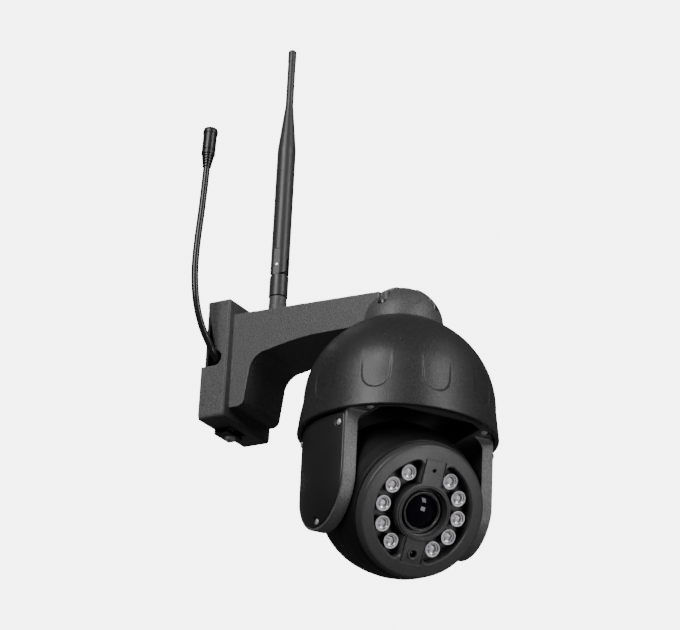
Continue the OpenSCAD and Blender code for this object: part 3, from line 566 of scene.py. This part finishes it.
def tongue_recess(degrees, z):
    """How deep the shallow U-shaped tongues lie in the dome at an angle from -Y and a height."""
    spread = 360 / TONGUES
    off = (degrees - TONGUE_TURN + spread / 2) % spread - spread / 2
    across = abs(math.radians(off) * DOME_R)
    half = 9.6 + 0.035 * (z + 46)
    bottom = -55.5
    centre = bottom + half
    outside = across - half if z > centre else math.hypot(across, z - centre) - half
    edge = 1 - smooth_step(-0.8, 0.1, outside)
    fade = 1 - smooth_step(-46, -24, z)
    return TONGUE_DEPTH * edge * fade


def add_dome():
    sides = 600
    outer = []
    start = math.degrees(math.asin(NECK_R / DOME_R))
    for k in range(37):
        a = math.radians(start + (62 - start) * k / 36)
        outer.append((DOME_R * math.sin(a), CROWN_Z + DOME_R * math.cos(a)))
    for k in range(1, 61):
        a = math.radians(62 + 28 * k / 60)
        outer.append((DOME_R * math.sin(a), CROWN_Z + DOME_R * math.cos(a)))
    slope = (RIM_R - DOME_R) / (CROWN_Z - RIM_Z)
    for k in range(1, 26):
        z = CROWN_Z - k * 0.66
        outer.append((DOME_R + slope * (CROWN_Z - z), z))
    edge = 1.1
    for k in range(9):
        a = math.radians(90 * k / 8)
        outer.append((RIM_R - 0.15 - edge + edge * math.cos(a), RIM_Z + edge - edge * math.sin(a)))
    inner = [(RIM_R - 3, RIM_Z), (RIM_R - 3.1, RIM_Z + 0.6), (DOME_R - 3, CROWN_Z)]
    for k in range(1, 13):
        a = math.radians(90 - (90 - start) * k / 12)
        inner.append(((DOME_R - 3) * math.sin(a), CROWN_Z + (DOME_R - 3) * math.cos(a)))
    inner += [(9, 1.6), (9, NECK_Z)]
    line = outer + inner
    points = []
    for i, (r, z) in enumerate(line):
        for k in range(sides):
            a = TAU * k / sides
            radius = r
            if i < len(outer) and z < -20:
                radius -= tongue_recess(math.degrees(a), z)
            points.append((radius * math.sin(a), -radius * math.cos(a), z))
    faces = []
    for i in range(len(line)):
        faces += ring_faces(i, (i + 1) % len(line), sides)
    shell = mesh_from(points, faces)
    add_object("dome_shell", shell, DOME, POWDER, "bracket", ["dome_housing"], sharp=50)


add_dome()


# ---------- turning yoke ----------

YOKE_HALF = 31
ARM_OUT = 54.3
COVER_R = 62
COVER_TOP = -68.5
TILT_Z = TILT.z
COVER_FALL_R = 64
SCREW_SPOTS = [(-25.4, -75, 56), (25.4, -75, 56), (0, TILT_Z - 26, 55.1)]    # y, z, and x of the seat
SEAT_R = 2.6


def arc(radius, start, sweep, steps, at):
    """Points on an arc, both ends included."""
    return [around(radius, start + sweep * k / steps, at) for k in range(steps + 1)]


def stadium_line(half, top, corner, steps=40):
    """The outline of an upright arm: a half-round foot about the tilt axis and a top with small corners."""
    quarter = math.pi / 2
    line = arc(half, math.pi, math.pi, steps, (0, TILT_Z))
    line += arc(corner, 0, quarter, 6, (half - corner, top - corner))
    return line + arc(corner, quarter, quarter, 6, (corner - half, top - corner))


def add_covers():
    half = YOKE_HALF - 1.8
    block = prism(stadium_line(half, COVER_TOP, 2.5), 50, 70)
    block.transform(Matrix(((0, 0, 1, 0), (1, 0, 0, 0), (0, 1, 0, 0), (0, 0, 0, 1))))
    fall = [math.radians(30 * k / 20) for k in range(21)]
    side = [(COVER_R - COVER_FALL_R * (1 - math.cos(a)), -COVER_FALL_R * math.sin(a)) for a in fall]
    drum = lathe([(0, 60), (COVER_R, 60)] + side + [(0, side[-1][1])], 480)
    drum.transform(move(0, 0, TILT_Z))
    solid = cut(block, [drum, box_mesh((ARM_OUT, -60, -200), (80, 60, 0))], "INTERSECT")
    seats = []
    for y, z, x in SCREW_SPOTS:
        seat = prism(circle(SEAT_R), 0, 20)
        seat.transform(move(x, y, z) @ turn("Y", 90))
        seats.append(seat)
    solid = cut(solid, seats)
    cover = soften(solid, 0.4, 7, 0.25)
    flip = Matrix.Scale(-1, 4, (1, 0, 0))
    left = moved(cover, flip)
    left.flip_normals()
    add_object("right_cover_shell", cover, YOKE, SATIN, "yoke", ["right_cover"])
    add_object("left_cover_shell", left, YOKE, SATIN, "yoke", ["left_cover"])
    head = pan_head(2.2, 1.2)
    heads = []
    for side in (-1, 1):
        for y, z, x in SCREW_SPOTS:
            heads.append(moved(head, move(side * (x + 1.15), y, z) @ turn("Y", 90 * side)))
    add_object("cover_screw_heads", join_meshes(heads), YOKE, SCREW, "yoke", ["cover_screws"])


def add_yoke():
    frame_mesh = node_copy("yoke_frame")
    casting = soften(frame_mesh, 0.4, 3, 0.3)
    add_object("yoke_casting", casting, Matrix(), YOKE_COAT_PAINTED_LIGHT, "yoke", ["yoke_frame"])
    head = pan_head(2.9, 2.1)
    corners = [(x, y) for x in (-41.8, 41.8) for y in (-39, 39)]
    heads = [moved(head, move(x, y, -66.6) @ turn("X", 180)) for x, y in corners]
    add_object("yoke_screw_heads", join_meshes(heads), YOKE, SCREW, "yoke", ["yoke_screws"])
    add_covers()


add_yoke()


# ---------- tilting head ----------

BALL_R = 50
FLAT_X = 44.7
FACE_D = 43.8
RIM_D = 38.5
RIM_FACE_R = 42.9
PLATE_END = 33.8
LAMP_RING = 26.8
SPOT_AT = 27               # the light sensor and the microphone hole, below and above the lens
GLASS_R = 11
GLASS_TOP = 42.4
GLASS_CURVE = 16


def add_ball():
    """The ball behind the face, turned about the face's axis and then flattened on both sides."""
    angles = [math.pi / 2 * k / 60 for k in range(61)]
    line = [(BALL_R * math.sin(a), -BALL_R * math.cos(a)) for a in angles]
    nose = [(50, 0), (49.95, 5), (49.2, 15), (47.4, 25), (45.2, 32.6)]
    for (r1, d1), (r2, d2) in zip(nose, nose[1:]):
        for k in range(1, 7):
            t = k / 6
            line.append((r1 + (r2 - r1) * t, d1 + (d2 - d1) * t))
    lip = [(44.9, 33.6), (44.6, 34.1), (44.1, 34.3), (41.8, 34.3), (41.8, 31)]
    hollow = [(41.6, 20), (43, 0), (30, -30), (0, -40)]
    mesh = lathe(line + lip + hollow, 192)
    soft = 1.2
    for vertex in mesh.vertices:
        x = vertex.co.x / MM
        over = abs(x) - FLAT_X
        if over > -soft:
            t = min(1, (over + soft) / (2 * soft))
            held = FLAT_X - soft + soft * (1 - (1 - t) ** 2) if over < soft else FLAT_X
            vertex.co.x = math.copysign(min(abs(x), held), x) * MM
    add_object("ball", mesh, FACE, BALL_COAT, "head", ["ball_shell"], sharp=50)


def crown(radius):
    """How far forward the face stands at a distance from its centre."""
    return FACE_D + 0.1 - 1.9 * (radius / 37) ** 2.6


def face_line():
    """The bezel's front from the centre out, over its rounded edge and down its side."""
    line = [(r, crown(r)) for r in (0, 6, 12, 16, 20, 24, 27, 30, 32, 34, 35.5, 37, 38.5, 40, 41)]
    start = Vector(line[-1])
    corner = Vector((42.7, 41.2))
    end = Vector((RIM_FACE_R, 39.4))
    for k in range(1, 13):
        t = k / 12
        spot = (1 - t) ** 2 * start + 2 * t * (1 - t) * corner + t * t * end
        line.append(tuple(spot))
    return line + [(RIM_FACE_R + 0.1, RIM_D), (43.5, 36.6), (43.55, 35.5), (43.0, 35.0)]


def opening_line(grow):
    """One crescent of the lamp opening, on the side of +X, with round ends."""
    outer = 33.6 + grow
    inner = 18.7 - min(grow, 0.05)
    side = 8.6 - grow
    corner = 3.2 + grow
    line = []
    height = math.sqrt((outer - corner) ** 2 - (side + corner) ** 2)
    reach = math.atan2(height, side + corner)
    for k in range(41):
        a = reach - 2 * reach * k / 40
        line.append((outer * math.cos(a), outer * math.sin(a)))
    for k in range(1, 9):
        a = -reach - (math.pi - reach) * k / 8
        line.append((side + corner + corner * math.cos(a), -height + corner * math.sin(a)))
    low = math.sqrt(inner ** 2 - side ** 2)
    start = math.atan2(-low, side)
    for k in range(33):
        a = start + (-2 * start) * k / 32
        line.append((inner * math.cos(a), inner * math.sin(a)))
    for k in range(0, 8):
        a = math.pi - (math.pi - reach) * k / 8
        line.append((side + corner + corner * math.cos(a), height + corner * math.sin(a)))
    return line


def keyhole_line(grow, half=7.0, end=PLATE_END, radius=18.7):
    """The keyhole plate's outline: a round island with a spine up and down."""
    r = radius + grow
    w = half + grow
    e = end + grow
    spine = math.asin(w / r)
    corner = 1.2
    line = []
    for sign in (1, -1):
        for k in range(25):
            t = -math.pi / 2 + spine + (math.pi - 2 * spine) * k / 24
            line.append((sign * r * math.cos(t), sign * r * math.sin(t)))
        for turned, side in ((0, w - corner), (math.pi / 2, corner - w)):
            for a, b in arc(corner, turned, math.pi / 2, 4, (side, e - corner)):
                line.append((sign * a, sign * b))
    return line


def add_face():
    inside = [(41.4, 34.4), (41.4, 31.2), (39.9, 31.2), (39.9, 37.0), (35.6, 37.0), (35.4, 32.8),
              (14.4, 32.8), (0, 32.8)]
    disc = lathe(face_line() + inside, 256)
    flip = Matrix.Scale(-1, 4, (1, 0, 0))
    cutters = []
    for mirrored in (False, True):
        straight = prism(opening_line(0), 20, 60)
        flared = loft(opening_line(0), opening_line(3.2), 41.4, 45.2)
        for cutter in (straight, flared):
            if mirrored:
                cutter.transform(flip)
                cutter.flip_normals()
            cutters.append(cutter)
    cutters.append(prism(keyhole_line(0.4, end=PLATE_END - 0.8), 20, 60))
    bezel = soften(cut(disc, cutters), 0.25, 2, 0.35)
    add_object("bezel", bezel, FACE, FACE_PLASTIC, "head", ["front_bezel"])

    # the keyhole plate lies a little lower than the bezel round the lens, and level with it at its ends
    radii = (0, 6, 12, 16, 20, 24, 27, 30, 33, 37)
    plate_skin = [(r, crown(r) - 0.02 - 0.25 * (1 - smooth_step(20, 33, r))) for r in radii]
    plate = lathe(plate_skin + [(37, 32.7), (0, 32.7)], 128)
    plate = cut(plate, [prism(keyhole_line(-0.05), 20, 60)], "INTERSECT")
    rims = (circle(17.0, 96), circle(3.4, 40, (0, -SPOT_AT)), circle(1.15, 24, (0, SPOT_AT)))
    plate = soften(cut(plate, [prism(rim, 20, 60) for rim in rims]), 0.25, 2, 0.4)
    add_object("keyhole_plate", plate, FACE, FACE_PLASTIC, "head", ["centre_plate"])


def add_lens():
    top = crown(16)
    collar = [(17.7, top - 0.4, 0), (17.7, top + 0.75, 0.3), (17, top + 0.75, 0.15), (16.85, top + 0.3, 0.05),
              (16.5, top + 0.3, 0.05), (16.35, top + 0.65, 0.1), (15.8, top + 0.65, 0.2), (15.6, 40.4, 0.1),
              (14.4, 40.1, 0.2), (14.2, 37.5, 0.1), (12.9, 37.5, 0.2), (12.9, 36.2, 0), (17, 36.2, 0),
              (17, top - 0.4, 0)]
    collar = lathe(rounded(collar), 128)
    add_object("collar", collar, FACE, FACE_PLASTIC, "head", ["lens_collar"])
    ring = [(12.8, 38.0, 0), (12.8, 40.7, 0.35), (11.7, 40.7, 0.25), (11.3, 40.1, 0.1), (11.1, 40.1, 0),
            (11.1, 38.0, 0)]
    ring = lathe(rounded(ring), 128)
    add_object("retaining_ring", ring, FACE, BLACK, "head", ["lens_ring"])
    # a strongly curved coated front element, held in a stepped dark barrel
    edge = math.asin(GLASS_R / GLASS_CURVE)
    angles = [edge * k / 24 for k in range(25)]
    front = [(GLASS_CURVE * math.sin(a), GLASS_TOP - GLASS_CURVE * (1 - math.cos(a))) for a in angles]
    glass = lathe(front + [(GLASS_R, 37), (0, 37)], 96)
    add_object("front_window", glass, FACE, COATED, "head", ["front_glass"])
    barrel = [(12.75, 37.9, 0), (11.9, 37.9, 0.1), (11.8, 37.2, 0.1), (11.25, 37.2, 0.1), (10.8, 36.6, 0),
              (10.8, 33, 0), (12.75, 33, 0)]
    add_object("lens_barrel", lathe(rounded(barrel), 96), FACE, BLACK, "head")


def add_lamps():
    """Ten lamps, each a milky cup round a bright bowl with a clear bead, and the light sensor."""
    cup = [(0, 33.6, 0), (3, 33.6, 0.2), (5.05, 38.3, 0.25), (5.05, 38.75, 0.2), (4.35, 38.75, 0.2),
           (3.95, 37.9, 0), (2.0, 36.3, 0), (0, 36.3, 0)]
    bowl = [(4.1, 38.15, 0), (3.3, 37.3, 0.4), (1.2, 36.5, 0), (1.2, 36.2, 0), (3.4, 36.9, 0), (4.2, 37.8, 0)]
    bead = [(1.9 * math.cos(a), 36.6 + 1.7 * math.sin(a)) for a in [math.pi / 2 * k / 10 for k in range(11)]]
    shapes = (("lamp_cups", lathe(rounded(cup), 48), LAMP_LENS, ["lamp_lenses"]),
              ("lamp_bowls", lathe(rounded(bowl), 40), LAMP_BOWL, []),
              ("lamp_beads", lathe(bead[:-1] + [(0, 38.3), (0, 36.4), (1.9, 36.4)], 32), LAMP_BEAD, []))
    angles = [math.radians(90 + 28 * step) for step in range(-2, 3)]
    sides = [(side * math.sin(a), math.cos(a)) for side in (-1, 1) for a in angles]
    places = [move(LAMP_RING * x, LAMP_RING * y, 0) for x, y in sides]
    for name, shape, material, replaced in shapes:
        copies = [moved(shape, place) for place in places]
        add_object(name, join_meshes(copies), FACE, material, "head", replaced)
    sensor = [(3.7, 43.9, 0.2), (3.7, 41.2, 0), (2.3, 41.2, 0), (2.3, 43.6, 0.1), (2.8, 43.9, 0.2)]
    window = [(0, 41.2), (1.2, 41), (2, 40.4), (2.25, 39.6), (2.25, 33), (0, 33)]
    place = FACE @ move(0, -SPOT_AT, 0)
    sensor = lathe(rounded(sensor), 48)
    add_object("sensor_ring", sensor, place, FACE_PLASTIC, "head", ["light_sensor"])
    add_object("sensor_window", lathe(window, 48), place, COATED, "head")


add_ball()
add_face()
add_lens()
add_lamps()


# ---------- finishes of the parts kept as they are ----------

FINISHES = {
    POWDER: ["dome_housing"],
    BRACKET_COAT_PAINTED_LIGHT: ["bracket_arm"],
    YOKE_COAT_PAINTED_LIGHT: ["yoke_frame"],
    BALL_COAT: ["ball_shell"],
    SATIN: ["wall_plate", "left_cover", "right_cover"],
    FACE_PLASTIC: ["front_bezel", "centre_plate"],
    BLACK: ["cable_clamp", "power_plug", "board_chips", "turntable", "lens_collar", "lens_ring",
            "lens_module", "light_sensor"],
    JACKET: ["inner_cable", "tail_cord", "cord_relief"],
    AERIAL_SKIN: ["aerial_base", "aerial_mast", "aerial_tip"],
    RUBBER: ["neck_gasket", "bezel_gasket"],
    BLACK_OXIDE: ["cap_screws"],
    SCREW: ["lock_screw", "chassis_screws", "yoke_screws", "cover_screws", "hub_nut", "board_screws"],
    PLATE: ["pan_motor", "tilt_motor", "microphone"],
    STEEL: ["pan_bearing", "left_axle", "right_axle", "hinge_pin"],
    CAST: ["chassis_plate"],
    BRASS: ["aerial_socket", "socket_nut", "board_standoffs", "pan_pinion", "tilt_pinion", "aerial_element"],
    NYLON: ["pan_gear", "tilt_gear", "left_bush", "right_bush"],
    BOARD: ["main_board", "image_board"],
    LAMP_BOARD: ["lamp_board"],
    LEAD: ["aerial_lead"],
    CHIP: ["lamp_chips"],
    LAMP_LENS: ["lamp_lenses"],
    COATED: ["front_glass"],
}

for material, names in FINISHES.items():
    for name in names:
        mesh = nodes[name].data
        mesh.materials.clear()
        mesh.materials.append(material)


# ---------- stage ----------

FLOOR_HALF = 10
FLOOR_Z = -2.5


def add_stage():
    floor_mesh = bpy.data.meshes.new("floor")
    corners = [(x * FLOOR_HALF, y * FLOOR_HALF, FLOOR_Z) for x, y in ((-1, -1), (1, -1), (1, 1), (-1, 1))]
    floor_mesh.from_pydata(corners, [], [(0, 1, 2, 3)])
    floor = bpy.data.objects.new("floor", floor_mesh)
    pale, tree, base = shader("pale_floor")
    tone = ramp(tree, noise(tree, 400, 2), [(0.3, 0.8), (0.7, 0.84)])
    tree.links.new(tone, base.inputs["Base Color"])
    tree.links.new(tone, base.inputs["Emission Color"])
    base.inputs["Emission Strength"].default_value = 5
    base.inputs["Roughness"].default_value = 0.9
    floor_mesh.materials.append(pale)
    floor.visible_diffuse = floor.visible_glossy = False
    bpy.context.scene.collection.objects.link(floor)

    world = bpy.data.worlds.new("studio")
    world.use_nodes = True
    tree = world.node_tree
    soft = tree.nodes["Background"]
    soft.inputs["Strength"].default_value = 0.07
    white = tree.nodes.new("ShaderNodeBackground")
    white.inputs["Strength"].default_value = 6
    for back in (soft, white):
        back.inputs["Color"].default_value = (1, 1, 1, 1)
    seen = tree.nodes.new("ShaderNodeLightPath")
    mix = tree.nodes.new("ShaderNodeMixShader")
    tree.links.new(seen.outputs["Is Camera Ray"], mix.inputs["Fac"])
    tree.links.new(soft.outputs["Background"], mix.inputs[1])
    tree.links.new(white.outputs["Background"], mix.inputs[2])
    tree.links.new(mix.outputs["Shader"], tree.nodes["World Output"].inputs["Surface"])
    bpy.context.scene.world = world

    add_strip("left_strip", -94, 26, 2.2, 0.95, 1.7, 45)
    add_strip("right_strip", -9, 23, 2.2, 0.7, 1.3, 20)
    add_strip("low_strip", -10, -20, 2.2, 0.8, 0.6, 14)
    add_strip("high_strip", 20, 50, 2.4, 0.8, 1.0, 3)
    add_strip("back_strip", 140, 35, 2.4, 1.0, 1.0, 14)


add_stage()
